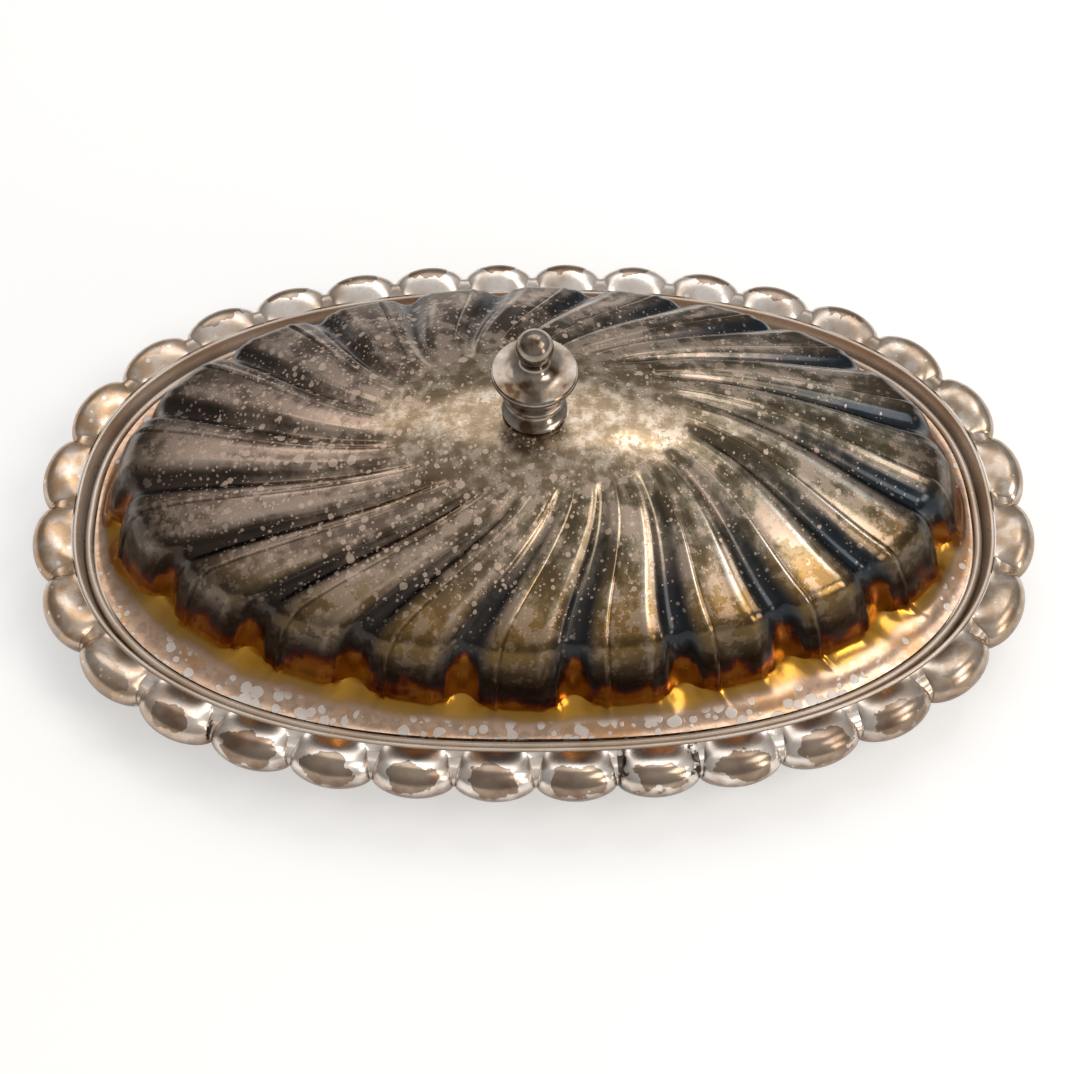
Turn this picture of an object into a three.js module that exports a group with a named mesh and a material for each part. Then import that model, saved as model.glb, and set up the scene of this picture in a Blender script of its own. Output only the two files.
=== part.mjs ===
// Covered butter dish in silver plate: an oval dish with a border of hollow lobes, a glass liner,
// and a swirl-fluted lid with an urn knob. Millimetres, +Z up, long axis along X.
// The origin is on the table, under the middle of the dish.
import * as THREE from 'three';

// Seat oval: the line where the edge of the lid meets the band of the dish
const seatLength = 182;
const seatWidth = 107.6;
const seatSquareness = 2.34;
const fitGap = 0.3;

// Dish: flat floor, sloping wall, ledge under the lid, and a band that turns up round the lid
const dishSheet = 1.0;
const wellDepth = 9.7;
const ledgeWidth = 7.5;
const ledgeLip = 0.3;
const wallRun = 6;
const wellFillet = 2.2;
const bandRise = 4.4;
const bandRun = 0.6;
const lipWidth = 0.9;

// Border: hollow lobes that swell out from the lip of the dish and end in a skirt. They are narrower
// at the lip, which leaves a facet between each two that runs to a pointed cusp.
const lobeCount = 32;
const borderSheet = 1.0;
const cuspReach = 5.2;
const lobeReach = 8.1;
const lobeFall = 3.2;
const creaseRise = 2.6;
const lobeRise = 4.6;
const lobeCrest = 0.55;
const lobeWaist = 0.8;
const lobeFoot = 0.97;
const lobeRoundness = 0.7;
const skirtDrop = 2;
const skirtTuck = 0.5;

// Lid: crown, swirled flutes, steep wall and flange with a wire along its edge
const lidSheet = 0.8;
const wireRadius = 0.75;
const flangeAtEnds = 5.3;
const flangeAtSides = 6.9;
const footRise = 4.2;
const crownRise = 35.6;
const crownFall = 17.5;
const crownCurve = 1.6;
const wallStart = 0.88;
const wallCurve = 2.6;
const flangeCurve = 2.5;

// Flutes: a flat panel, a facet, a hollow channel and another facet, repeated round the dome
const fluteCount = 20;
const panelPhase = 0.87;
const panelHalf = 0.17;
const channelHalf = 0.12;
const fluteStart = 0.34;
const swirl = 1.36;
const swirlEnd = 0.96;
const swirlCurve = 1.76;
const fluteOnset = 0.6;
const crownDepth = 1.7;
const footDepth = 3;
const creaseDepth = 0.08;
const facetDepth = 0.8;

// Liner: oval glass dish standing on the floor of the well
const linerHeight = 10.2;
const linerWall = 2.6;
const linerFloor = 3;
const linerInset = 4.5;
const linerRun = 9;

// Knob: spool, urn and tip in a stack on one stud, with a washer and a nut inside the lid
const studRadius = 1.5;
const studEnd = 1;
const spoolRadius = 6.15;
const spoolEdge = 0.9;
const neckRadius = 3.4;
const spoolTopRadius = 4.9;
const spoolHeight = 4.7;
const ringRadius = 6.05;
const ringHeight = 0.8;
const cupFootRadius = 5.4;
const discRadius = 8;
const discEdge = 0.8;
const discHeight = 6.2;
const urnTopRadius = 2.1;
const urnHeight = 10;
const studGrip = 5;
const pegRadius = 1;
const pegLength = 2.6;
const tipNeckRadius = 1.75;
const ballRadius = 3.45;
const ballRise = 3;
const washerRadius = 5;
const washerThickness = 0.8;
const nutFlats = 5.5;
const nutHeight = 2.4;

// Points round each kind of body
const lobePoints = 6;
const dishPoints = 80;
const linerPoints = 64;
const wirePoints = 80;
const wireSides = 6;
const turnedPoints = 24;
const curveSteps = 4;

// Heights that the pieces share
const ledgeTop = dishSheet + wellDepth;
const bandTop = ledgeTop + bandRise;
const lidSeat = ledgeTop + fitGap;
const wireLevel = lidSeat + wireRadius;
const flangeTop = wireLevel + lidSheet / 2;
const footTop = lidSeat + footRise;
const knobSeatRadius = spoolRadius + fitGap;
const boreRadius = studRadius + fitGap;

const silver = new THREE.MeshStandardMaterial({ color: 0xcbbfb2, roughness: 0.28, metalness: 1 });
const tarnished = new THREE.MeshStandardMaterial({ color: 0x8a7d6d, roughness: 0.3, metalness: 1 });
const brass = new THREE.MeshStandardMaterial({ color: 0xb08d4a, roughness: 0.35, metalness: 1 });
const glass = new THREE.MeshStandardMaterial({
  color: 0xdfeae6, roughness: 0.08, metalness: 0, transparent: true, opacity: 0.4,
});

// Rounded oval, from an ellipse at squareness 2 to a fuller outline above it
class Oval extends THREE.Curve {
  constructor(length, width, squareness) {
    super();
    this.halfLength = length / 2;
    this.halfWidth = width / 2;
    this.squareness = squareness;
    this.arcLengthDivisions = 1440;
  }

  getPoint(turn) {
    const angle = 2 * Math.PI * turn;
    const lengthPart = Math.abs(Math.cos(angle) / this.halfLength) ** this.squareness;
    const widthPart = Math.abs(Math.sin(angle) / this.halfWidth) ** this.squareness;
    const reach = (lengthPart + widthPart) ** (-1 / this.squareness);
    return new THREE.Vector2(reach * Math.cos(angle), reach * Math.sin(angle));
  }

  // Point and outward normal at a share of the way round, measured along the outline
  at(share) {
    const wrapped = share - Math.floor(share);
    const point = this.getPointAt(wrapped);
    const tangent = this.getTangentAt(wrapped);
    return { point, normal: new THREE.Vector2(tangent.y, -tangent.x) };
  }

  // The same point moved outward by an offset and lifted to a height
  offset(share, distance, height) {
    const { point, normal } = this.at(share);
    point.addScaledVector(normal, distance);
    return new THREE.Vector3(point.x, point.y, height);
  }
}

const seat = new Oval(seatLength, seatWidth, seatSquareness);
const domeFoot = new Oval(seatLength - 2 * flangeAtEnds, seatWidth - 2 * flangeAtSides, 2);

function mix(from, to, share) {
  return from + (to - from) * share;
}

// Rings of points joined into one closed body. A ring of one point closes an end,
// and without such ends the last ring joins the first. Each face is split along its
// shorter diagonal, so that the two sides of a sheet are split alike.
function bodyOfRings(rings) {
  const starts = [];
  const points = [];
  for (const ring of rings) {
    starts.push(points.length);
    points.push(...ring);
  }
  const triangles = [];
  const endsClosed = rings[0].length === 1;
  const bands = endsClosed ? rings.length - 1 : rings.length;
  for (let band = 0; band < bands; band++) {
    const lower = rings[band];
    const next = (band + 1) % rings.length;
    const upper = rings[next];
    const around = Math.max(lower.length, upper.length);
    for (let i = 0; i < around; i++) {
      const j = (i + 1) % around;
      const a = starts[band] + (i % lower.length);
      const b = starts[band] + (j % lower.length);
      const c = starts[next] + (j % upper.length);
      const d = starts[next] + (i % upper.length);
      if (lower.length === 1) triangles.push(a, c, d);
      else if (upper.length === 1) triangles.push(a, b, c);
      else if (points[a].distanceTo(points[c]) < points[b].distanceTo(points[d])) {
        triangles.push(a, b, c, a, c, d);
      } else {
        triangles.push(a, b, d, b, c, d);
      }
    }
  }
  const geometry = new THREE.BufferGeometry();
  geometry.setFromPoints(points);
  geometry.setIndex(triangles);
  return facingOut(geometry);
}

// Turns every triangle round when the body is inside out
function facingOut(geometry) {
  const position = geometry.attributes.position;
  const index = geometry.index;
  const corner = [new THREE.Vector3(), new THREE.Vector3(), new THREE.Vector3()];
  let volume = 0;
  for (let i = 0; i < index.count; i += 3) {
    corner.forEach((vector, k) => vector.fromBufferAttribute(position, index.getX(i + k)));
    volume += corner[0].dot(corner[1].cross(corner[2]));
  }
  if (volume < 0) {
    for (let i = 0; i < index.count; i += 3) {
      const second = index.getX(i + 1);
      index.setX(i + 1, index.getX(i + 2));
      index.setX(i + 2, second);
    }
  }
  geometry.computeVertexNormals();
  return geometry;
}

// Ring that follows the seat oval at an offset and a height
function seatRing(count, distance, height) {
  const ring = [];
  for (let i = 0; i < count; i++) {
    ring.push(seat.offset(i / count, distance, height));
  }
  return ring;
}

// Body turned about the knob's axis from a profile of radii and heights
function turned(profile, level) {
  const rings = profile.map(([radius, height]) => {
    if (radius === 0) return [new THREE.Vector3(0, 0, level + height)];
    const ring = [];
    for (let i = 0; i < turnedPoints; i++) {
      const angle = (2 * Math.PI * i) / turnedPoints;
      ring.push(new THREE.Vector3(radius * Math.cos(angle), radius * Math.sin(angle), level + height));
    }
    return ring;
  });
  return bodyOfRings(rings);
}

function named(name, geometry, material) {
  const mesh = new THREE.Mesh(geometry, material);
  mesh.name = name;
  return mesh;
}

// Dish: one sheet from the floor up the wall, over the ledge and up the band
function dishBody() {
  const wallTop = -ledgeWidth;
  const wallFoot = wallTop - wallRun;
  const slope = Math.atan2(wellDepth, wallRun);
  const wallShift = dishSheet * Math.tan(slope / 2);
  const topSide = [
    [wallFoot - wellFillet, dishSheet],
    [wallFoot + wellFillet * Math.cos(slope), dishSheet + wellFillet * Math.sin(slope)],
    [wallTop - wellFillet * Math.cos(slope), ledgeTop - wellFillet * Math.sin(slope)],
    [wallTop + wellFillet, ledgeTop],
    [ledgeLip, ledgeTop],
    [ledgeLip + bandRun / 2, ledgeTop + bandRise / 2],
    [ledgeLip + bandRun, bandTop],
  ];
  const underSide = [
    [ledgeLip + bandRun + lipWidth, bandTop],
    [ledgeLip + bandRun + lipWidth, ledgeTop],
    [ledgeLip + dishSheet, ledgeTop - dishSheet],
    [wallTop + wellFillet + wallShift, ledgeTop - dishSheet],
    [wallTop - wellFillet * Math.cos(slope) + wallShift, ledgeTop - dishSheet - wellFillet * Math.sin(slope)],
    [wallFoot + wellFillet * Math.cos(slope) + wallShift, wellFillet * Math.sin(slope)],
    [wallFoot - wellFillet + wallShift, 0],
  ];
  const rings = [
    [new THREE.Vector3(0, 0, dishSheet)],
    ...topSide.map(([distance, height]) => seatRing(dishPoints, distance, height)),
    ...underSide.map(([distance, height]) => seatRing(dishPoints, distance, height)),
    [new THREE.Vector3(0, 0, 0)],
  ];
  return bodyOfRings(rings);
}

// Border: each section climbs from the lip to the crest of the lobe, rounds over to its reach
// and ends in the skirt
function dishBorder() {
  const inner = ledgeLip + bandRun + lipWidth + fitGap;
  const edgeTop = bandTop - lobeFall;
  const outShares = [0, 0.25, lobeCrest, 0.82, 0.95, 1];
  const ringOf = (outShare, sectionPoint) => {
    const ring = [];
    const width = mix(lobeWaist, lobeFoot, outShare);
    for (let lobe = 0; lobe < lobeCount; lobe++) {
      for (let i = 0; i <= lobePoints; i++) {
        const across = (2 * i) / lobePoints - 1;
        const swell = (1 - across * across) ** lobeRoundness;
        const reach = mix(cuspReach, lobeReach, swell);
        const rise = mix(creaseRise, lobeRise, swell);
        const [distance, height] = sectionPoint(reach, rise);
        const share = (lobe + 0.5 + (across * width) / 2) / lobeCount;
        ring.push(seat.offset(share, inner + distance, height));
      }
    }
    return ring;
  };
  const heightAt = (outShare, rise) => {
    if (outShare < lobeCrest) {
      return mix(bandTop, edgeTop + rise, Math.sin(((outShare / lobeCrest) * Math.PI) / 2));
    }
    return edgeTop + rise * Math.sqrt(1 - ((outShare - lobeCrest) / (1 - lobeCrest)) ** 2);
  };
  const arch = (outShare, sheet) => ringOf(outShare, (reach, rise) => [
    (reach - sheet) * outShare,
    heightAt(outShare, rise) - sheet,
  ]);
  const edge = (sheet) => ringOf(1, (reach) => [reach - skirtTuck - sheet, edgeTop - skirtDrop]);
  const rings = outShares.map((outShare) => arch(outShare, 0));
  rings.push(edge(0), edge(borderSheet));
  for (const outShare of [...outShares].reverse()) {
    rings.push(arch(outShare, borderSheet));
  }
  return bodyOfRings(rings);
}

// Height of the dome at a share of the way out from the knob to its foot
function domeHeight(share) {
  const wallFall = crownRise - crownFall - footRise;
  const wallShare = Math.max(0, (share - wallStart) / (1 - wallStart));
  return lidSeat + crownRise - crownFall * share ** crownCurve - wallFall * wallShare ** wallCurve;
}

// Level of the flat seat that the knob stands on
const crownLevel = domeHeight(knobSeatRadius / domeFoot.halfWidth);

// How far a flute has turned, in flute pitches, at a share of the way out
function fluteTurn(share) {
  const inward = Math.max(0, (swirlEnd - Math.max(share, fluteStart)) / (swirlEnd - fluteStart));
  return swirl * inward ** swirlCurve;
}

// Depth of the channels below the panels at a share of the way out
function fluteDepth(share) {
  const onCrown = Math.min(1, Math.max(0, (share - fluteStart) / (wallStart - fluteStart)));
  const onWall = Math.max(0, (share - wallStart) / (1 - wallStart));
  const sunk = Math.sin((onCrown * Math.PI) / 2) ** fluteOnset;
  return crownDepth * sunk + (footDepth - crownDepth) * onWall ** wallCurve;
}

// Points across one flute, as a phase from the middle of its panel and a share of the depth
const fluteSection = [
  [0, 0],
  [panelHalf, creaseDepth],
  [0.5 - channelHalf, facetDepth],
  [0.5, 1],
  [0.5 + channelHalf, facetDepth],
  [1 - panelHalf, creaseDepth],
];

// Calls back with the share of the way round and the depth share of each point round the lid
function lidRing(turnShare, pointAt) {
  const ring = [];
  for (let flute = 0; flute < fluteCount; flute++) {
    for (const [phase, depthShare] of fluteSection) {
      const share = (flute + panelPhase + phase + fluteTurn(turnShare)) / fluteCount;
      ring.push(pointAt(share, depthShare));
    }
  }
  return ring;
}

// Point on the dome, sunk by the flutes and then by the sheet along the surface normal
function domePoint(share, depthShare, out, sink) {
  const { point, normal } = domeFoot.at(share);
  const step = 0.001;
  const fall = (domeHeight(out - step) - domeHeight(out)) / (step * point.dot(normal));
  const surface = new THREE.Vector3(normal.x * fall, normal.y * fall, 1).normalize();
  const place = new THREE.Vector3(point.x * out, point.y * out, domeHeight(out));
  return place.addScaledVector(surface, -fluteDepth(out) * depthShare - sink);
}

// Lid: crown with a flat seat for the knob, fluted dome and flange, all in one sheet
function lidDome() {
  const domeSteps = [0.22, fluteStart, 0.44, 0.55, 0.66, 0.76, 0.85, 0.9, 0.94, 0.97, 1];
  const flangeSteps = [0.35, 0.7, 1];
  const flangeEdge = -2 * wireRadius - 2 * fitGap;
  const circle = (radius, height) => lidRing(fluteStart, (share) => {
    const { point } = domeFoot.at(share);
    point.setLength(radius);
    return new THREE.Vector3(point.x, point.y, height);
  });
  const dome = (out, sink) => lidRing(out, (share, depthShare) => domePoint(share, depthShare, out, sink));
  const flange = (step, sink) => lidRing(1, (share, depthShare) => {
    const { point, normal } = domeFoot.at(share);
    const angle = Math.atan2(point.y, point.x);
    const edge = seat.getPoint(angle / (2 * Math.PI));
    edge.setLength(edge.length() + flangeEdge);
    const toFoot = (1 - step) ** flangeCurve;
    point.lerp(edge, step).addScaledVector(normal, -footDepth * depthShare * toFoot);
    return new THREE.Vector3(point.x, point.y, mix(flangeTop, footTop, toFoot) - sink);
  });
  const rings = [circle(boreRadius, crownLevel), circle(knobSeatRadius, crownLevel)];
  domeSteps.forEach((out) => rings.push(dome(out, 0)));
  flangeSteps.forEach((step) => rings.push(flange(step, 0)));
  [...flangeSteps].reverse().forEach((step) => rings.push(flange(step, lidSheet)));
  [...domeSteps].reverse().forEach((out) => rings.push(dome(out, lidSheet)));
  rings.push(circle(knobSeatRadius, crownLevel - lidSheet), circle(boreRadius, crownLevel - lidSheet));
  return bodyOfRings(rings);
}

// Wire along the edge of the flange, just inside the band of the dish
function lidRimWire() {
  const rings = [];
  for (let side = 0; side < wireSides; side++) {
    const angle = (2 * Math.PI * side) / wireSides;
    const distance = -wireRadius - fitGap / 2 + wireRadius * Math.cos(angle);
    rings.push(seatRing(wirePoints, distance, wireLevel + wireRadius * Math.sin(angle)));
  }
  return bodyOfRings(rings);
}

// Liner: thick glass with a rounded rim, standing clear of the wall of the well
function glassLiner() {
  const base = dishSheet + fitGap;
  const rim = -ledgeWidth - linerInset;
  const foot = rim - linerRun;
  const rounding = linerWall / 4;
  const profile = [
    [foot, base],
    [rim, base + linerHeight - rounding],
    [rim - rounding, base + linerHeight],
    [rim - linerWall + rounding, base + linerHeight],
    [rim - linerWall, base + linerHeight - rounding],
    [foot - linerWall / 2, base + linerFloor],
  ];
  const rings = profile.map(([distance, height]) => seatRing(linerPoints, distance, height));
  rings.unshift([new THREE.Vector3(0, 0, base)]);
  rings.push([new THREE.Vector3(0, 0, base + linerFloor)]);
  return bodyOfRings(rings);
}

// Knob parts share the axis through the middle of the lid
const spoolLevel = crownLevel + fitGap;
const urnLevel = spoolLevel + spoolHeight + fitGap;
const tipLevel = urnLevel + urnHeight + fitGap;

// Points along a curve that is drawn from one profile point to another towards a third
function bend(from, towards, to) {
  const [start, control, end] = [from, towards, to].map(([radius, height]) => new THREE.Vector2(radius, height));
  const curve = new THREE.QuadraticBezierCurve(start, control, end);
  return curve.getPoints(curveSteps).map((point) => [point.x, point.y]);
}

function knobSpool() {
  const foot = [spoolRadius - spoolEdge / 2, spoolEdge];
  const top = [spoolTopRadius, spoolHeight];
  const waist = [neckRadius, (spoolEdge + spoolHeight) / 2];
  return turned([
    [boreRadius, 0],
    [spoolRadius - spoolEdge / 2, 0],
    [spoolRadius, spoolEdge / 2],
    ...bend(foot, waist, top),
    [boreRadius, spoolHeight],
  ], spoolLevel);
}

function knobUrn() {
  const discTop = [discRadius - discEdge / 2, discHeight + discEdge];
  const neck = [urnTopRadius, urnHeight];
  return turned([
    [0, studGrip],
    [boreRadius, studGrip],
    [boreRadius, 0],
    [cupFootRadius, 0],
    [ringRadius, ringHeight / 2],
    [ringRadius, ringHeight],
    [cupFootRadius, ringHeight + discEdge / 2],
    [discRadius - discEdge / 2, discHeight - discEdge],
    [discRadius, discHeight],
    ...bend(discTop, [urnTopRadius, discHeight + discEdge], neck),
    [pegRadius + fitGap, urnHeight],
    [pegRadius + fitGap, urnHeight - pegLength - fitGap],
    [0, urnHeight - pegLength - fitGap],
  ], urnLevel);
}

function knobTip() {
  const profile = [[0, -pegLength], [pegRadius, -pegLength], [pegRadius, 0], [tipNeckRadius, 0]];
  const neckAngle = Math.asin(tipNeckRadius / ballRadius);
  const ballSteps = 2 * curveSteps;
  for (let step = 0; step < ballSteps; step++) {
    const angle = mix(neckAngle, Math.PI, step / ballSteps);
    profile.push([ballRadius * Math.sin(angle), ballRise - ballRadius * Math.cos(angle)]);
  }
  profile.push([0, ballRise + ballRadius]);
  return turned(profile, tipLevel);
}

function knobStud() {
  const bottom = crownLevel - lidSheet - 2 * fitGap - washerThickness - nutHeight - studEnd;
  const top = urnLevel + studGrip - fitGap;
  return turned([[0, 0], [studRadius, 0], [studRadius, top - bottom], [0, top - bottom]], bottom);
}

function knobWasher() {
  const level = crownLevel - lidSheet - fitGap - washerThickness;
  return turned([
    [boreRadius, 0],
    [washerRadius, 0],
    [washerRadius, washerThickness],
    [boreRadius, washerThickness],
  ], level);
}

function knobNut() {
  const outline = new THREE.Shape();
  const corner = nutFlats / Math.sqrt(3);
  for (let side = 0; side < 6; side++) {
    const angle = (Math.PI * side) / 3;
    const place = [corner * Math.cos(angle), corner * Math.sin(angle)];
    if (side === 0) outline.moveTo(...place);
    else outline.lineTo(...place);
  }
  outline.closePath();
  outline.holes.push(new THREE.Path().absarc(0, 0, boreRadius, 0, 2 * Math.PI, true));
  const geometry = new THREE.ExtrudeGeometry(outline, {
    depth: nutHeight, bevelEnabled: false, curveSegments: turnedPoints / 2,
  });
  return geometry.translate(0, 0, crownLevel - lidSheet - 2 * fitGap - washerThickness - nutHeight);
}

const butterDish = new THREE.Group();
const lid = new THREE.Group();
butterDish.add(
  named('dish_body', dishBody(), silver),
  named('dish_border', dishBorder(), silver),
  named('glass_liner', glassLiner(), glass),
  lid,
);
lid.add(
  named('lid_dome', lidDome(), tarnished),
  named('lid_rim_wire', lidRimWire(), silver),
  named('knob_spool', knobSpool(), tarnished),
  named('knob_urn', knobUrn(), tarnished),
  named('knob_tip', knobTip(), tarnished),
  named('knob_stud', knobStud(), brass),
  named('knob_washer', knobWasher(), brass),
  named('knob_nut', knobNut(), brass),
);

export default butterDish;
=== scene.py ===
import math

import bpy
import numpy as np
from mathutils import Euler, Matrix, Vector


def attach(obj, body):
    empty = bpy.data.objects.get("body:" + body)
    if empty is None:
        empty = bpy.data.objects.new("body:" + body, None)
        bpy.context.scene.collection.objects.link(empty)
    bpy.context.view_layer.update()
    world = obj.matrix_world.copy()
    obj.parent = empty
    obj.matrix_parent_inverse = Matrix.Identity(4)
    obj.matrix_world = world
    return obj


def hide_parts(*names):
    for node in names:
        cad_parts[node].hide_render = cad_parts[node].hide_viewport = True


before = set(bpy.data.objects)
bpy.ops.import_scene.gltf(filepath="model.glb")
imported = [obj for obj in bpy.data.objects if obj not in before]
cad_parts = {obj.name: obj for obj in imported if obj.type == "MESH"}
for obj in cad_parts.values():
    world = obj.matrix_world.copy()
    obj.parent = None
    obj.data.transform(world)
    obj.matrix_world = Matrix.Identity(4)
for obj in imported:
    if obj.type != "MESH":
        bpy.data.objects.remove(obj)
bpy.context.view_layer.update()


# Dish: an oval of brass sheet, silver-plated and pressed into a shallow well, with a ledge that
# the lid stands on and a band with a rounded lip that turns up round the lid.
MM = 0.001
seat_length = 182
seat_width = 107.6
seat_squareness = 2.34
dish_sheet = 1.0
well_depth = 9.7
ledge_width = 7.5
ledge_lip = 0.3
wall_run = 6
well_fillet = 2.2
band_rise = 4.4
band_run = 0.6
lip_width = 0.9
band_fillet = 0.7
ledge_top = dish_sheet + well_depth
band_top = ledge_top + band_rise
lip_inside = ledge_lip + band_run
lip_outside = lip_inside + lip_width
dish_columns = 320
fillet_steps = 8
oval_steps = 2880


class Oval:
    """Rounded oval: an ellipse at squareness 2, fuller above it, with places measured along it."""

    def __init__(self, length, width, squareness):
        turn = np.linspace(0, 2 * np.pi, oval_steps + 1)
        along = np.abs(np.cos(turn) / (length / 2)) ** squareness
        across = np.abs(np.sin(turn) / (width / 2)) ** squareness
        reach = (along + across) ** (-1 / squareness)
        self.points = np.stack([reach * np.cos(turn), reach * np.sin(turn)], axis=1)
        steps = np.linalg.norm(np.diff(self.points, axis=0), axis=1)
        self.shares = np.concatenate([[0], np.cumsum(steps)]) / steps.sum()
        tangent = np.roll(self.points[:-1], -1, axis=0) - np.roll(self.points[:-1], 1, axis=0)
        normal = np.stack([tangent[:, 1], -tangent[:, 0]], axis=1)
        normal /= np.linalg.norm(normal, axis=1, keepdims=True)
        self.normals = np.vstack([normal, normal[:1]])

    def at(self, shares):
        """Points and outward normals at shares of the way round."""
        wrapped = np.mod(shares, 1)
        point = [np.interp(wrapped, self.shares, self.points[:, i]) for i in range(2)]
        normal = [np.interp(wrapped, self.shares, self.normals[:, i]) for i in range(2)]
        return np.stack(point, axis=1), np.stack(normal, axis=1)

    def ring(self, shares, offset, height):
        """Points moved outward by an offset and lifted to a height."""
        point, normal = self.at(shares)
        offsets = np.broadcast_to(offset, len(shares))[:, None]
        heights = np.broadcast_to(height, len(shares))[:, None]
        return np.hstack([point + normal * offsets, heights])


seat = Oval(seat_length, seat_width, seat_squareness)


def bend(start, towards, end, steps):
    """Points of a curve that leaves start for the corner and turns there to the end."""
    t = np.linspace(0, 1, steps + 1)[:, None]
    corner = np.array(towards)
    return list((1 - t) ** 2 * np.array(start) + 2 * t * (1 - t) * corner + t ** 2 * np.array(end))


def wrapped_sheet(name, rings):
    """A flat sheet in rows and columns, wrapped into rings of points and closed at its seam."""
    rows, columns = rings.shape[0] - 1, rings.shape[1] - 1
    bpy.ops.object.select_all(action="DESELECT")
    bpy.ops.mesh.primitive_grid_add(x_subdivisions=columns, y_subdivisions=rows, size=1)
    sheet = bpy.context.object
    sheet.name = name
    for vertex in sheet.data.vertices:
        row = round((vertex.co.y + 0.5) * rows)
        column = round((vertex.co.x + 0.5) * columns)
        vertex.co = rings[row, column] * MM
    bpy.ops.object.mode_set(mode="EDIT")
    bpy.ops.mesh.select_all(action="SELECT")
    bpy.ops.mesh.remove_doubles(threshold=0.001 * MM)
    bpy.ops.object.mode_set(mode="OBJECT")
    return sheet


def vessel_rings(profile, columns, under, floor):
    """Rings along a profile from the underside over the rim to the inside, closed at both middles."""
    shares = np.arange(columns + 1) / columns
    rings = [seat.ring(shares, offset, height) for offset, height in profile]
    below, above = np.array([0, 0, under]), np.array([0, 0, floor])
    start = [below + (rings[0] - below) * share for share in (0, 0.33, 0.66)]
    end = [above + (rings[-1] - above) * share for share in (0.66, 0.33, 0)]
    return np.array(start + rings + end)


def smooth_faces(piece, angle):
    """Rounds the shading except across edges sharper than an angle in degrees."""
    bpy.ops.object.select_all(action="DESELECT")
    piece.select_set(True)
    bpy.context.view_layer.objects.active = piece
    bpy.ops.object.shade_smooth_by_angle(angle=math.radians(angle))


def linear(code):
    """sRGB hex to a linear colour."""
    parts = [int(code[i:i + 2], 16) / 255 for i in (0, 2, 4)]
    return tuple(p / 12.92 if p <= 0.04045 else ((p + 0.055) / 1.055) ** 2.4 for p in parts) + (1.0,)


def set_inputs(tree, node, inputs):
    """Gives a node's inputs their numbers and colours, or links them to the socket that feeds them. A
    node in place of a socket stands for its first output in use."""
    for name, value in inputs.items():
        if isinstance(value, bpy.types.Node):
            value = next(output for output in value.outputs if output.enabled)
        if isinstance(value, bpy.types.NodeSocket):
            tree.links.new(value, node.inputs[name])
        else:
            node.inputs[name].default_value = value


def add_node(tree, kind, inputs=None, ramp=None, **settings):
    """Adds a shader node. Numbered inputs are in Blender's order: a MapRange turns the range from 1 to 2
    into that from 3 to 4, and a colour Mix goes from 6 to 7 by the share in 0."""
    made = tree.nodes.new("ShaderNode" + kind)
    for name, value in settings.items():
        setattr(made, name, value)
    set_inputs(tree, made, inputs or {})
    if ramp:
        stops = made.color_ramp.elements
        stops.remove(stops[1])
        stops[0].position, stops[0].color = ramp[0][0], linear(ramp[0][1])
        for position, code in ramp[1:]:
            stops.new(position).color = linear(code)
    return made


def new_material(name):
    """A material, its node tree, its shader, and places on the piece for patterns in real sizes."""
    material = bpy.data.materials.new(name)
    material.use_nodes = True
    tree = material.node_tree
    return material, tree, tree.nodes["Principled BSDF"], add_node(tree, "TexCoord").outputs["Object"]


def dish_plate():
    """Silver plate on pressed brass: pale and warm, softly mirrored, with a thin brown film, white specks
    and a dull deposit on the band."""
    material, tree, shader, place = new_material("soft_silver_plate")
    # film in clouds about 12 mm across
    cloud = add_node(tree, "TexNoise", {"Vector": place, "Scale": 1 / (12 * MM), "Detail": 5.0})
    film = add_node(
        tree, "ValToRGB", {"Fac": cloud},
        [(0.32, "a58f77"), (0.44, "c0b09e"), (0.56, "d2c8bd"), (0.7, "ded7d0")],
    )
    # specks of dried deposit, about 0.5 mm in cells of 2.5 mm
    cell = add_node(tree, "TexVoronoi", {"Vector": place, "Scale": 1 / (2.5 * MM)})
    speck = add_node(tree, "MapRange", {"Value": cell.outputs["Distance"], 1: 0.12, 2: 0.09})
    colour = add_node(tree, "Mix", {0: speck, 6: film, 7: linear("ddd5ce")}, data_type="RGBA")
    # above the ledge, on the band and the wire beside it, a dull pale deposit that polish has left
    level = add_node(tree, "SeparateXYZ", {0: place}).outputs["Z"]
    bloom = add_node(
        tree, "MapRange", {"Value": level, 1: (ledge_top + 0.1) * MM, 2: (ledge_top + 0.6) * MM, 4: 0.6},
    )
    colour = add_node(tree, "Mix", {0: bloom, 6: colour, 7: linear("cdb9a6")}, data_type="RGBA")
    rough = add_node(tree, "MapRange", {"Value": cloud, 3: 0.36, 4: 0.2})
    metal = add_node(tree, "Math", {0: 1.0, 1: bloom}, operation="SUBTRACT")
    set_inputs(tree, shader, {"Base Color": colour, "Metallic": metal, "Roughness": rough})
    return material


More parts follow.
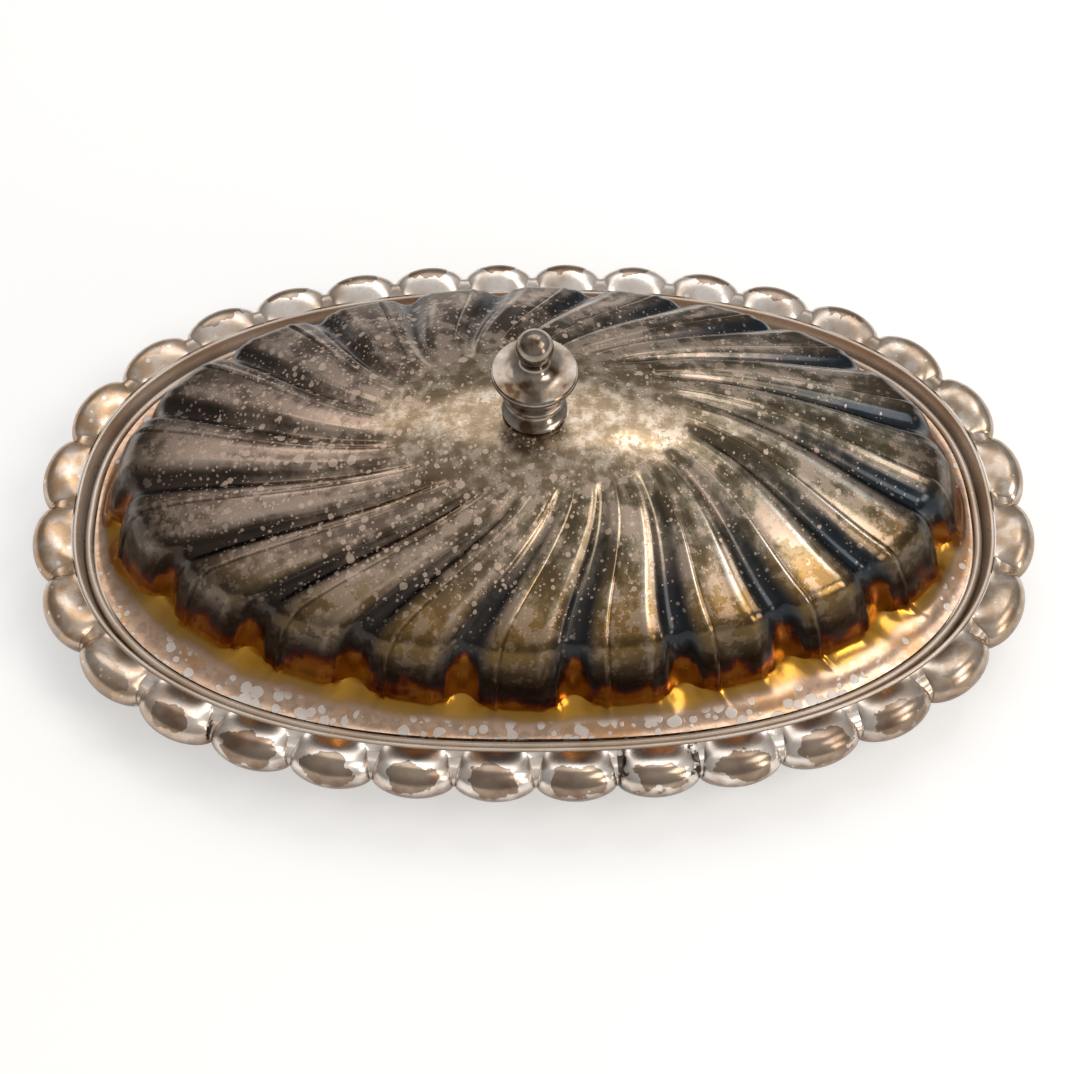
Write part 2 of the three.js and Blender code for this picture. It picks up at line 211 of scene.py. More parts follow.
def dish_profile():
    """Offsets from the seat and heights, from the underside out, up, over the lip and in to the floor."""
    wall_top = -ledge_width
    wall_foot = wall_top - wall_run
    slope = math.atan2(well_depth, wall_run)
    along, down = well_fillet * math.cos(slope), well_fillet * math.sin(slope)
    shift = dish_sheet * math.tan(slope / 2)
    under_ledge = ledge_top - dish_sheet
    lip_round = lip_width / 2
    # each corner: where its curve starts, the corner itself, and where its curve ends
    corners = [
        ((wall_foot - well_fillet + shift, 0), (wall_foot + shift, 0), (wall_foot + along + shift, down)),
        ((wall_top - along + shift, under_ledge - down), (wall_top + shift, under_ledge),
         (wall_top + well_fillet + shift, under_ledge)),
        ((lip_outside - dish_sheet, under_ledge), (lip_outside, under_ledge), (lip_outside, ledge_top)),
        ((lip_outside, band_top - lip_round), (lip_outside, band_top), (lip_outside - lip_round, band_top)),
        ((lip_outside - lip_round, band_top), (lip_inside, band_top), (lip_inside, band_top - lip_round)),
        ((ledge_lip + band_run / 4, ledge_top + band_fillet), (ledge_lip, ledge_top),
         (ledge_lip - band_fillet, ledge_top)),
        ((wall_top + well_fillet, ledge_top), (wall_top, ledge_top), (wall_top - along, ledge_top - down)),
        ((wall_foot + along, dish_sheet + down), (wall_foot, dish_sheet),
         (wall_foot - well_fillet, dish_sheet)),
    ]
    profile = []
    for start, corner, end in corners:
        profile += bend(start, corner, end, fillet_steps)
    return profile


dish = wrapped_sheet("pressed_dish", vessel_rings(dish_profile(), dish_columns, 0, dish_sheet))
smooth_faces(dish, angle=40)
dish.data.materials.append(dish_plate())
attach(dish, "dish")
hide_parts("dish_body")


# Border: a strip of stamped brass sheet, silver-plated, soldered round the lip of the dish.
# It is drawn into hollow lobes with a facet between each two, and its outer edge is turned down.
lobe_count = 32
border_sheet = 0.9
border_gap = 0.15
cusp_reach = 5.35
lobe_reach = 8.25
lobe_fall = 3.2
crease_rise = 2.6
lobe_rise = 4.6
lobe_crest = 0.55
lobe_waist = 0.8
lobe_foot = 0.97
lobe_roundness = 0.7
skirt_drop = 2
skirt_tuck = 0.5
lobe_columns = 24
lobe_middle = lobe_columns / (2 * lobe_columns + 2)
slope_rows = 13
skirt_rows = 4


def thicken(sheet, thickness, inside_slot=0):
    """Gives a sheet its metal thickness, towards its back."""
    solidify = sheet.modifiers.new("thickness", "SOLIDIFY")
    solidify.thickness = thickness * MM
    solidify.offset = -1
    solidify.material_offset = inside_slot
    bpy.ops.object.modifier_apply(modifier=solidify.name)


def border_rings():
    """Rings from the edge of the skirt over the crests of the lobes to the lip of the dish."""
    inner = lip_outside + border_gap
    edge_top = band_top - lobe_fall
    across = np.tile(np.sin(np.linspace(-0.5, 0.5, lobe_columns + 1) * np.pi), lobe_count)
    lobes = np.repeat(np.arange(lobe_count), lobe_columns + 1)
    swell = (1 - across ** 2) ** lobe_roundness
    reach = cusp_reach + (lobe_reach - cusp_reach) * swell
    rise = crease_rise + (lobe_rise - crease_rise) * swell
    rows = []
    for step in np.linspace(0, 1, skirt_rows, endpoint=False):
        rows.append((1, reach - skirt_tuck * (1 - step) ** 2, edge_top - skirt_drop * (1 - step)))
    for angle in np.linspace(0, np.pi / 2, slope_rows, endpoint=False):
        out = lobe_crest + (1 - lobe_crest) * np.cos(angle)
        rows.append((out, reach * out, edge_top + rise * np.sin(angle)))
    for out in np.linspace(lobe_crest, 0, slope_rows + 1):
        climb = np.sin(out / lobe_crest * np.pi / 2)
        rows.append((out, reach * out, band_top + (edge_top + rise - band_top) * climb))
    rings = []
    for out, distance, height in rows:
        width = lobe_waist + (lobe_foot - lobe_waist) * out
        ring = seat.ring((lobes + 0.5 + across * width / 2) / lobe_count, inner + distance, height)
        rings.append(np.vstack([ring, ring[:1]]))
    return np.array(rings)


def lobe_plate():
    """Silver plate on stamped brass: bright pinkish white, bronze at the left end and tan at the right one,
    with brown films on the crowns that have crisp wavy edges and also serve as a painted dark reflection,
    a browner skirt that is partly a painted reflection of the floor, a painted shadow as a dark line
    along its edge, and black ragged marks beside some cusps of the front."""
    material, tree, shader, place = new_material("worn_silver_plate")
    at = add_node(tree, "SeparateXYZ", {0: place})
    lobe = add_node(tree, "SeparateXYZ", {0: add_node(tree, "UVMap")})
    # whole number in the middle of each lobe, and the distance from there, 0.5 between two lobes
    number = add_node(
        tree, "Math", {0: lobe.outputs["X"], 1: lobe_count, 2: -lobe_middle}, operation="MULTIPLY_ADD",
    )
    beside = add_node(tree, "Math", {0: number, 1: 0.5}, operation="PINGPONG")
    number = add_node(tree, "Math", {0: number}, operation="ROUND")
    chance = add_node(tree, "TexWhiteNoise", {"W": number}, noise_dimensions="1D")
    # clouds about 8 mm across and a wavy edge with waves of about 3 mm
    cloud = add_node(tree, "TexNoise", {"Vector": place, "Scale": 1 / (8 * MM), "Detail": 5.0})
    wave = add_node(tree, "TexNoise", {"Vector": place, "Scale": 1 / (3 * MM), "Detail": 6.0})
    silver = add_node(
        tree, "ValToRGB", {"Fac": cloud},
        [(0.32, "bba795"), (0.46, "dacdc1"), (0.58, "ebe1d8"), (0.72, "d4c6b9")],
    )
    # bronze film on the left end and a tan one on the right, in patches
    patchy = add_node(tree, "MapRange", {"Value": wave, 1: 0.38, 2: 0.58, 3: 0.35, 4: 0.85})
    left = add_node(tree, "MapRange", {"Value": at.outputs["X"], 1: -55 * MM, 2: -88 * MM})
    bronze = add_node(tree, "Math", {0: left, 1: patchy}, operation="MULTIPLY")
    silver = add_node(tree, "Mix", {0: bronze, 6: silver, 7: linear("b08a62")}, data_type="RGBA")
    right = add_node(tree, "MapRange", {"Value": at.outputs["X"], 1: 45 * MM, 2: 82 * MM})
    tan = add_node(tree, "Math", {0: right, 1: patchy}, operation="MULTIPLY")
    silver = add_node(tree, "Mix", {0: tan, 6: silver, 7: linear("a0876c")}, data_type="RGBA")
    # island of brown film on the outer slope of each crown, 5 to 8 mm wide, also a painted dark reflection
    down = add_node(tree, "Math", {0: lobe.outputs["Y"], 1: 0.42}, operation="SUBTRACT")
    oval = add_node(tree, "CombineXYZ", {"X": beside, "Y": down})
    oval = add_node(tree, "VectorMath", {0: oval, 1: (4.4, 3.9, 1)}, operation="MULTIPLY")
    oval = add_node(tree, "VectorMath", {0: oval}, operation="LENGTH")
    edge = add_node(tree, "MapRange", {"Value": wave, 1: 0.25, 2: 0.75, 3: -0.5, 4: 0.5})
    edge = add_node(tree, "Math", {0: oval, 1: edge}, operation="ADD")
    edge = add_node(tree, "Math", {0: chance, 1: 0.35, 2: edge}, operation="MULTIPLY_ADD")
    film_and_reflection_island = add_node(tree, "MapRange", {"Value": edge, 1: 1.12, 2: 1.06})
    ends = add_node(tree, "Math", {0: at.outputs["X"]}, operation="ABSOLUTE")
    middle = add_node(tree, "MapRange", {"Value": ends, 1: 86 * MM, 2: 66 * MM, 3: 0.25, 4: 0.95})
    film_and_reflection_island = add_node(tree, "Math", {0: film_and_reflection_island, 1: middle}, operation="MULTIPLY")
    brown = add_node(tree, "ValToRGB", {"Fac": cloud}, [(0.35, "735945"), (0.5, "8f7a69"), (0.65, "a6937f")])
    colour = add_node(tree, "Mix", {0: film_and_reflection_island, 6: silver, 7: brown}, data_type="RGBA")
    # browner towards the skirt, tarnish with a painted reflection of a darker floor, and a painted shadow as
    # a dark line at its edge
    low = add_node(tree, "Math", {0: wave, 1: 0.4, 2: lobe.outputs["Y"]}, operation="MULTIPLY_ADD")
    skirt_tarnish_and_reflection = add_node(tree, "MapRange", {"Value": low, 1: 0.5, 2: 0.32, 4: 0.85})
    colour = add_node(tree, "Mix", {0: skirt_tarnish_and_reflection, 6: colour, 7: linear("6f543f")}, data_type="RGBA")
    rim = add_node(tree, "MapRange", {"Value": lobe.outputs["Y"], 1: 0.08, 2: 0.03})
    colour = add_node(tree, "Mix", {0: rim, 6: colour, 7: linear("2a1d14")}, data_type="RGBA")
    # black marks near the cusps, here and there along the front
    ragged = add_node(
        tree, "TexNoise", {"Vector": place, "Scale": 1 / (2.2 * MM), "Detail": 8.0, "Roughness": 0.7},
    )
    near = add_node(tree, "MapRange", {"Value": beside, 1: 0.26, 2: 0.42, 4: 0.17})
    where = add_node(tree, "MapRange", {"Value": chance, 1: 0.4, 2: 0.7, 3: -0.1, 4: 0.12})
    front = add_node(tree, "MapRange", {"Value": at.outputs["Y"], 1: -30 * MM, 2: -50 * MM})
    black = add_node(tree, "Math", {0: ragged, 1: near}, operation="ADD")
    black = add_node(tree, "Math", {0: black, 1: where}, operation="ADD")
    black = add_node(tree, "Math", {0: black, 1: front}, operation="MULTIPLY")
    black = add_node(tree, "MapRange", {"Value": black, 1: 0.74, 2: 0.77, 4: 0.9})
    colour = add_node(tree, "Mix", {0: black, 6: colour, 7: linear("352a22")}, data_type="RGBA")
    # white specks of deposit, up to 1 mm in cells of 2 mm, most on the left end and along the lip
    cell = add_node(tree, "TexVoronoi", {"Vector": place, "Scale": 1 / (2 * MM)})
    size = add_node(tree, "SeparateXYZ", {0: cell.outputs["Color"]}).outputs["X"]
    size = add_node(tree, "MapRange", {"Value": size, 1: 0.5, 2: 1.0, 3: -0.1, 4: 0.2})
    lip = add_node(tree, "MapRange", {"Value": lobe.outputs["Y"], 1: 0.8, 2: 0.96, 4: 0.12})
    size = add_node(tree, "Math", {0: size, 1: lip}, operation="ADD")
    size = add_node(tree, "Math", {0: left, 1: 0.1, 2: size}, operation="MULTIPLY_ADD")
    speck = add_node(tree, "Math", {0: size, 1: cell.outputs["Distance"]}, operation="SUBTRACT")
    speck = add_node(tree, "MapRange", {"Value": speck, 1: 0.0, 2: 0.04, 4: 0.85})
    colour = add_node(tree, "Mix", {0: speck, 6: colour, 7: linear("e6dfd8")}, data_type="RGBA")
    rough = add_node(tree, "MapRange", {"Value": cloud, 1: 0.3, 2: 0.7, 3: 0.33, 4: 0.2})
    set_inputs(tree, shader, {"Base Color": colour, "Metallic": 1.0, "Roughness": rough})
    # films stand a few hundredths of a millimetre proud
    height = add_node(tree, "Math", {0: film_and_reflection_island, 1: wave}, operation="ADD")
    bump = add_node(tree, "Bump", {"Height": height, "Strength": 0.3, "Distance": 0.06 * MM})
    set_inputs(tree, shader, {"Normal": bump})
    return material


border = wrapped_sheet("lobed_border", border_rings())
thicken(border, border_sheet)
smooth_faces(border, angle=50)
border.data.materials.append(lobe_plate())
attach(border, "dish")
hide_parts("dish_border")


# Liner: a thick oval dish of pressed clear glass that stands in the well and holds the butter.
# Its rim and foot are fire-polished round.
liner_gap = 0.3
liner_height = 10.2
liner_wall = 2.6
liner_floor = 3
liner_inset = 4.5
liner_run = 9
liner_foot_round = 1.2
liner_floor_rise = 2
liner_floor_run = 3
liner_columns = 256
liner_steps = 6
liner_base = dish_sheet + liner_gap


def liner_profile():
    """Offsets from the seat and heights, from the underside out, up, over the rim and in again."""
    top = liner_base + liner_height
    floor = liner_base + liner_floor
    rim = -ledge_width - liner_inset
    foot = rim - liner_run
    half = liner_wall / 2
    profile = bend(
        (foot - liner_foot_round, liner_base), (foot, liner_base),
        (foot + liner_foot_round, liner_base + liner_foot_round), liner_steps,
    )
    profile += bend((rim, top - half), (rim, top), (rim - half, top), liner_steps)
    profile += bend((rim - half, top), (rim - liner_wall, top), (rim - liner_wall, top - half), liner_steps)
    inner_foot = foot - half
    profile += bend(
        (inner_foot + liner_floor_rise, floor + liner_floor_rise), (inner_foot, floor),
        (inner_foot - liner_floor_run, floor), fillet_steps,
    )
    return profile


def pressed_glass():
    """Clear soda-lime glass with a faint green cast and a little unevenness from the mould."""
    material, tree, shader, place = new_material("pressed_clear_glass")
    # waves of the mould about 15 mm long
    cloud = add_node(tree, "TexNoise", {"Vector": place, "Scale": 1 / (15 * MM), "Detail": 2.0})
    tint = add_node(tree, "ValToRGB", {"Fac": cloud}, [(0.3, "e6f0ec"), (0.7, "f2f8f5")])
    rough = add_node(tree, "MapRange", {"Value": cloud, 3: 0.02, 4: 0.08})
    set_inputs(tree, shader, {"Transmission Weight": 1.0, "IOR": 1.52})
    set_inputs(tree, shader, {"Base Color": tint, "Roughness": rough})
    return material


liner = wrapped_sheet(
    "glass_butter_liner", vessel_rings(liner_profile(), liner_columns, liner_base, liner_base + liner_floor),
)
smooth_faces(liner, angle=40)
liner.data.materials.append(pressed_glass())
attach(liner, "liner")
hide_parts("glass_liner")


# Lid: raised from one sheet of silver-plated brass, with a smooth crown, swirled flutes, a steep
# fluted wall and a flange. The plate has tarnished from gold at the foot to blue-black above it, and the
# dark of the wall and channels is deepened with painted dark reflection and shade.
lid_sheet = 0.8
wire_radius = 0.75
fit_gap = 0.3
flange_at_ends = 5.3
flange_at_sides = 6.9
foot_rise = 4.2
crown_rise = 35.6
crown_fall = 17.5
crown_curve = 1.6
wall_start = 0.88
wall_curve = 2.6
flange_curve = 2.5
flute_count = 20
panel_phase = 0.87
flute_start = 0.34
swirl = 1.36
swirl_end = 0.96
swirl_curve = 1.76
flute_onset = 0.6
crown_depth = 1.7
foot_depth = 3
channel_phase = 0.47
knob_seat_radius = 6.45
bore_radius = 1.8
foot_out = 1.02
edge_out = 1.2
plateau_out = 0.2
seat_out = 0.14
flange_rows = 12
wall_rows = 18
flute_rows = 34
plateau_rows = 7
lid_seat = ledge_top + fit_gap
flange_top = lid_seat + wire_radius + lid_sheet / 2
foot_top = lid_seat + foot_rise
dome_foot = Oval(seat_length - 2 * flange_at_ends, seat_width - 2 * flange_at_sides, 2)
# one flute from the middle of its panel to the next: phase, and share of the channel's depth. A broad
# roll ends the panel on one side, a thin bead and a groove on the other, and the channel lies between.
flute_section = [
    (0, 0), (0.08, 0), (0.13, -0.02), (0.17, -0.06), (0.205, -0.03), (0.235, 0.08), (0.265, 0.16),
    (0.295, 0.19), (0.325, 0.29), (0.355, 0.5), (0.39, 0.77), (0.43, 0.94), (channel_phase, 1),
    (0.51, 0.95), (0.55, 0.78), (0.585, 0.53), (0.62, 0.32), (0.655, 0.22), (0.695, 0.17), (0.728, 0.09),
    (0.75, -0.02), (0.768, -0.05), (0.786, -0.01), (0.803, 0.09), (0.82, 0.07), (0.845, 0.015), (0.92, 0),
]


def dome_height(out):
    """Height of the dome at a share of the way out from the knob to its foot."""
    wall_fall = crown_rise - crown_fall - foot_rise
    wall_share = max(0, (out - wall_start) / (1 - wall_start))
    return lid_seat + crown_rise - crown_fall * out ** crown_curve - wall_fall * wall_share ** wall_curve


def flute_turn(out):
    """How far the flutes have turned, in flute pitches, at a share of the way out."""
    inward = max(0, (swirl_end - max(out, flute_start)) / (swirl_end - flute_start))
    return swirl * inward ** swirl_curve


def flute_depth(out):
    """Depth of the channels below the panels at a share of the way out."""
    on_crown = min(1, max(0, (out - flute_start) / (wall_start - flute_start)))
    on_wall = max(0, (out - wall_start) / (1 - wall_start))
    sunk = math.sin(on_crown * math.pi / 2) ** flute_onset
    return crown_depth * sunk + (foot_depth - crown_depth) * on_wall ** wall_curve


crown_level = dome_height(knob_seat_radius / (seat_width / 2 - flange_at_sides))
flute_phases = [flute + phase for flute in range(flute_count) for phase, depth in flute_section]
flute_phases = np.array(flute_phases + [flute_count])
depth_shares = [depth for flute in range(flute_count) for phase, depth in flute_section]
depth_shares = np.array(depth_shares + [0])


def flange_ring(step):
    """Ring on the flange, from the foot of the dome at step 0 to its edge at step 1, and how far out each
    of its points lies, from 1 in the channels and foot_out below the panels to edge_out."""
    point, normal = dome_foot.at((flute_phases + panel_phase + flute_turn(1)) / flute_count)
    turn = np.arctan2(point[:, 1], point[:, 0])
    along = np.abs(np.cos(turn) / (seat_length / 2)) ** seat_squareness
    across = np.abs(np.sin(turn) / (seat_width / 2)) ** seat_squareness
    reach = (along + across) ** (-1 / seat_squareness) - 2 * wire_radius - 2 * fit_gap
    edge = np.stack([reach * np.cos(turn), reach * np.sin(turn)], axis=1)
    to_foot = (1 - step) ** flange_curve
    sunk = foot_depth * to_foot * depth_shares
    place = point + (edge - point) * step - normal * sunk[:, None]
    ring = np.column_stack([place, np.full(len(place), flange_top + (foot_top - flange_top) * to_foot)])
    from_foot = step - sunk / np.linalg.norm(edge - point, axis=1)
    in_channel = 1 + (foot_out - 1) * np.clip(1 + 2 * from_foot, 0, 1)
    on_flange = foot_out + (edge_out - foot_out) * from_foot
    return ring, np.where(from_foot < 0, in_channel, on_flange)


def dome_ring(out):
    """Ring on the dome, sunk by the flutes along the surface normal."""
    point, normal = dome_foot.at((flute_phases + panel_phase + flute_turn(out)) / flute_count)
    step = 0.001
    fall = (dome_height(out - step) - dome_height(out)) / step / np.sum(point * normal, axis=1)
    surface = np.column_stack([normal * fall[:, None], np.ones(len(fall))])
    surface /= np.linalg.norm(surface, axis=1, keepdims=True)
    place = np.column_stack([point * out, np.full(len(point), dome_height(out))])
    return place - surface * (flute_depth(out) * depth_shares)[:, None]


def crown_ring(radius):
    """Circle on the flat seat of the knob."""
    point, _ = dome_foot.at((flute_phases + panel_phase + flute_turn(0)) / flute_count)
    place = point / np.linalg.norm(point, axis=1, keepdims=True) * radius
    return np.column_stack([place, np.full(len(place), crown_level)])


def lid_plate():
    """Silver plate left to tarnish: glossy films from gold at the foot to blue-black in the channels,
    olive, brown and grey along the panels, and pale round spots where drops have dried. The blue-black of
    the channels and the near-black of the wall are painted dark reflection and shade over the tarnish;
    the golden sheen on the front panels and the bright silver along the rolls and beads and down the
    middle of the left panels are painted highlights."""
    material, tree, shader, place = new_material("darkly_tarnished_silver_plate")
    at = add_node(tree, "SeparateXYZ", {0: place})
    flute = add_node(tree, "SeparateXYZ", {0: add_node(tree, "UVMap")})
    number, out = flute.outputs["X"], flute.outputs["Y"]
    # distance from the middle of the panel, negative on its left, and from the middle of the channel
    phase = add_node(tree, "Math", {0: number, 1: 0.5, 2: -0.5}, operation="WRAP")
    beside = add_node(tree, "Math", {0: phase}, operation="ABSOLUTE")
    channel = add_node(tree, "Math", {0: number, 1: channel_phase}, operation="SUBTRACT")
    channel = add_node(tree, "Math", {0: channel, 1: 0.5}, operation="PINGPONG")
    # patches along the flutes, a third of a flute wide, on a round of the dome without a seam
    turn = add_node(tree, "Math", {0: number, 1: 2 * math.pi / flute_count}, operation="MULTIPLY")
    round_x = add_node(tree, "Math", {0: turn}, operation="COSINE")
    round_y = add_node(tree, "Math", {0: turn}, operation="SINE")
    round_dome = add_node(tree, "CombineXYZ", {"X": round_x, "Y": round_y, "Z": out})
    stretched = add_node(tree, "VectorMath", {0: round_dome, 1: (11, 11, 5)}, operation="MULTIPLY")
    streak = add_node(tree, "TexNoise", {"Vector": stretched, "Scale": 1.0, "Detail": 4.0})
    drawn_out = add_node(tree, "VectorMath", {0: round_dome, 1: (120, 120, 5)}, operation="MULTIPLY")
    hairline = add_node(tree, "TexNoise", {"Vector": drawn_out, "Scale": 1.0, "Detail": 3.0})
    # clouds about 9 mm across and ragged edges of about 2.5 mm
    cloud = add_node(tree, "TexNoise", {"Vector": place, "Scale": 1 / (9 * MM), "Detail": 6.0})
    ragged = add_node(
        tree, "TexNoise", {"Vector": place, "Scale": 1 / (2.5 * MM), "Detail": 6.0, "Roughness": 0.6},
    )
    both = add_node(tree, "Math", {0: streak, 1: cloud}, operation="ADD")
    both = add_node(tree, "Math", {0: ragged, 1: 0.3, 2: both}, operation="MULTIPLY_ADD")
    film = add_node(tree, "MapRange", {"Value": both, 1: 0.9, 2: 1.4}, interpolation_type="SMOOTHSTEP")
    # from the left end to the right one: pinkish brown, olive in the middle, then greyer olive
    across = add_node(tree, "MapRange", {"Value": at.outputs["X"], 1: -80 * MM, 2: 80 * MM})
    dark = add_node(tree, "ValToRGB", {"Fac": across}, [(0.1, "7f685a"), (0.5, "6c5b43"), (0.85, "665c49")])
    pale = add_node(tree, "ValToRGB", {"Fac": across}, [(0.1, "c0aa9b"), (0.5, "baa88f"), (0.85, "b9ad97")])
    dome = add_node(tree, "Mix", {0: film, 6: dark, 7: pale}, data_type="RGBA")
    # painted highlight: panels at the left end are paler along their middle, where their rolls catch light
    middle = add_node(tree, "MapRange", {"Value": beside, 1: 0.27, 2: 0.12, 4: 0.5})
    left_end = add_node(tree, "MapRange", {"Value": at.outputs["X"], 1: 0.0, 2: -45 * MM})
    middle = add_node(tree, "Math", {0: middle, 1: left_end}, operation="MULTIPLY")
    dome = add_node(tree, "Mix", {0: middle, 6: dome, 7: linear("c6ae9f")}, data_type="RGBA")
    # painted golden sheen, a painted highlight, on the lower half of the front panels
    lower = add_node(tree, "MapRange", {"Value": out, 1: 0.62, 2: 0.84, 4: 0.75})
    front = add_node(tree, "MapRange", {"Value": at.outputs["Y"], 1: -8 * MM, 2: -30 * MM})
    not_left = add_node(tree, "MapRange", {"Value": at.outputs["X"], 1: -70 * MM, 2: -25 * MM})
    front = add_node(tree, "Math", {0: front, 1: not_left}, operation="MULTIPLY")
    painted_golden_sheen = add_node(tree, "Math", {0: lower, 1: front}, operation="MULTIPLY")
    dome = add_node(tree, "Mix", {0: painted_golden_sheen, 6: dome, 7: linear("9a763c")}, data_type="RGBA")
    # the back is brown with a mauve cast
    behind = add_node(tree, "MapRange", {"Value": at.outputs["Y"], 1: 5 * MM, 2: 32 * MM, 4: 0.7})
    mauve = add_node(tree, "ValToRGB", {"Fac": film}, [(0.2, "54453d"), (0.5, "80726b"), (0.9, "9f928c")])
    dome = add_node(tree, "Mix", {0: behind, 6: dome, 7: mauve}, data_type="RGBA")
    # painted dark reflection and shade on the ends of the panels down the wall, from golden brown to near
    # black at the front and from grey-brown at the sides
    wander = add_node(tree, "MapRange", {"Value": both, 1: 0.9, 2: 1.4, 3: -0.015, 4: 0.015})
    shoulder = add_node(tree, "Math", {0: out, 1: wander}, operation="ADD")
    painted_wall_shade = add_node(tree, "MapRange", {"Value": shoulder, 1: 0.77, 2: 0.88, 4: 0.92})
    ends = add_node(
        tree, "ValToRGB", {"Fac": shoulder},
        [(0.78, "94713b"), (0.88, "7d6138"), (0.93, "5f4c2d"), (0.95, "3c3223"), (0.972, "1f1e1b")],
    )
    side_wall_shade = add_node(
        tree, "ValToRGB", {"Fac": shoulder},
        [(0.8, "7a6757"), (0.88, "554839"), (0.93, "352f27"), (0.972, "1f1e1b")],
    )
    ends = add_node(tree, "Mix", {0: front, 6: side_wall_shade, 7: ends}, data_type="RGBA")
    dome = add_node(tree, "Mix", {0: painted_wall_shade, 6: dome, 7: ends}, data_type="RGBA")
    # dark stains, and worn patches of pinkish silver, all with crisp edges
    patch = add_node(tree, "Math", {0: both, 1: 0.6, 2: ragged}, operation="MULTIPLY_ADD")
    stain = add_node(tree, "MapRange", {"Value": patch, 1: 1.12, 2: 1.105, 4: 0.35})
    dome = add_node(tree, "Mix", {0: stain, 6: dome, 7: linear("453a2f")}, data_type="RGBA")
    worn = add_node(tree, "MapRange", {"Value": patch, 1: 1.24, 2: 1.25})
    fading = add_node(tree, "MapRange", {"Value": out, 1: 0.95, 2: 0.75, 3: 0.1, 4: 0.7})
    worn = add_node(tree, "Math", {0: worn, 1: fading}, operation="MULTIPLY")
    dome = add_node(tree, "Mix", {0: worn, 6: dome, 7: linear("c4ab98")}, data_type="RGBA")
    # smooth crown in greyish tan with crisp pale patches
    fleck = add_node(tree, "Math", {0: ragged, 1: 0.65}, operation="MULTIPLY")
    fleck = add_node(tree, "Math", {0: cloud, 1: 0.35, 2: fleck}, operation="MULTIPLY_ADD")
    tan = add_node(
        tree, "ValToRGB", {"Fac": fleck},
        [(0.42, "806e58"), (0.49, "917f69"), (0.496, "a08e78"), (0.545, "a69580"), (0.55, "b5a592"),
         (0.62, "bbad9c")],
    )
    edge = add_node(tree, "Math", {0: ragged, 1: 0.1, 2: out}, operation="MULTIPLY_ADD")
    crown = add_node(tree, "MapRange", {"Value": edge, 1: 0.43, 2: 0.37}, interpolation_type="SMOOTHSTEP")
    dome = add_node(tree, "Mix", {0: crown, 6: dome, 7: tan}, data_type="RGBA")
    # channels, tarnish deepened with painted shade and dark reflection, brown-black at the left end and
    # blue-black from the middle on, fading towards the crown
    painted_channel_shade = add_node(tree, "MapRange", {"Value": channel, 1: 0.29, 2: 0.1}, interpolation_type="SMOOTHSTEP")
    begun = add_node(tree, "MapRange", {"Value": out, 1: 0.37, 2: 0.75, 4: 0.95})
    painted_channel_shade = add_node(tree, "Math", {0: painted_channel_shade, 1: begun}, operation="MULTIPLY")
    shade = add_node(tree, "ValToRGB", {"Fac": across}, [(0.1, "3b322c"), (0.5, "2e3134"), (0.85, "2a3239")])
    dome = add_node(tree, "Mix", {0: painted_channel_shade, 6: dome, 7: shade}, data_type="RGBA")
    # groove and bead on the left of each panel, and roll on its right: phase, where the line ends on each
    # side, where it is full, and how strong it is
    lines = []
    for centre, outer, full, strength in (
        (-0.193, 0.022, 0.004, 0.6), (-0.232, 0.02, 0.006, 1.0), (0.175, 0.05, 0.015, 1.0),
    ):
        line = add_node(tree, "Math", {0: phase, 1: centre}, operation="SUBTRACT")
        line = add_node(tree, "Math", {0: line}, operation="ABSOLUTE")
        lines.append(add_node(tree, "MapRange", {"Value": line, 1: outer, 2: full, 4: strength}))
    groove, bead, roll = lines
    # darker in the groove on the left of each panel
    groove = add_node(tree, "Math", {0: groove, 1: begun}, operation="MULTIPLY")
    dome = add_node(tree, "Mix", {0: groove, 6: dome, 7: linear("2a231c")}, data_type="RGBA")
    # painted highlights of bright silver along the rolls and beads that stand proud, in broken lines,
    # whitest at the right
    ridge_highlight = add_node(tree, "Math", {0: roll, 1: bead}, operation="MAXIMUM")
    broken = add_node(tree, "MapRange", {"Value": both, 1: 1.0, 2: 1.2, 3: 0.1, 4: 0.9})
    ridge_highlight = add_node(tree, "Math", {0: ridge_highlight, 1: broken}, operation="MULTIPLY")
    highlight_by_height = add_node(
        tree, "ValToRGB", {"Fac": out},
        [(0.38, "000000"), (0.5, "8c8c8c"), (0.75, "dcdcdc"), (0.88, "5a5a5a")],
    )
    ridge_highlight = add_node(tree, "Math", {0: ridge_highlight, 1: highlight_by_height}, operation="MULTIPLY")
    silver = add_node(tree, "ValToRGB", {"Fac": across}, [(0.2, "bfae9d"), (0.5, "c6b8a4"), (0.8, "dad6d0")])
    dome = add_node(tree, "Mix", {0: ridge_highlight, 6: dome, 7: silver}, data_type="RGBA")
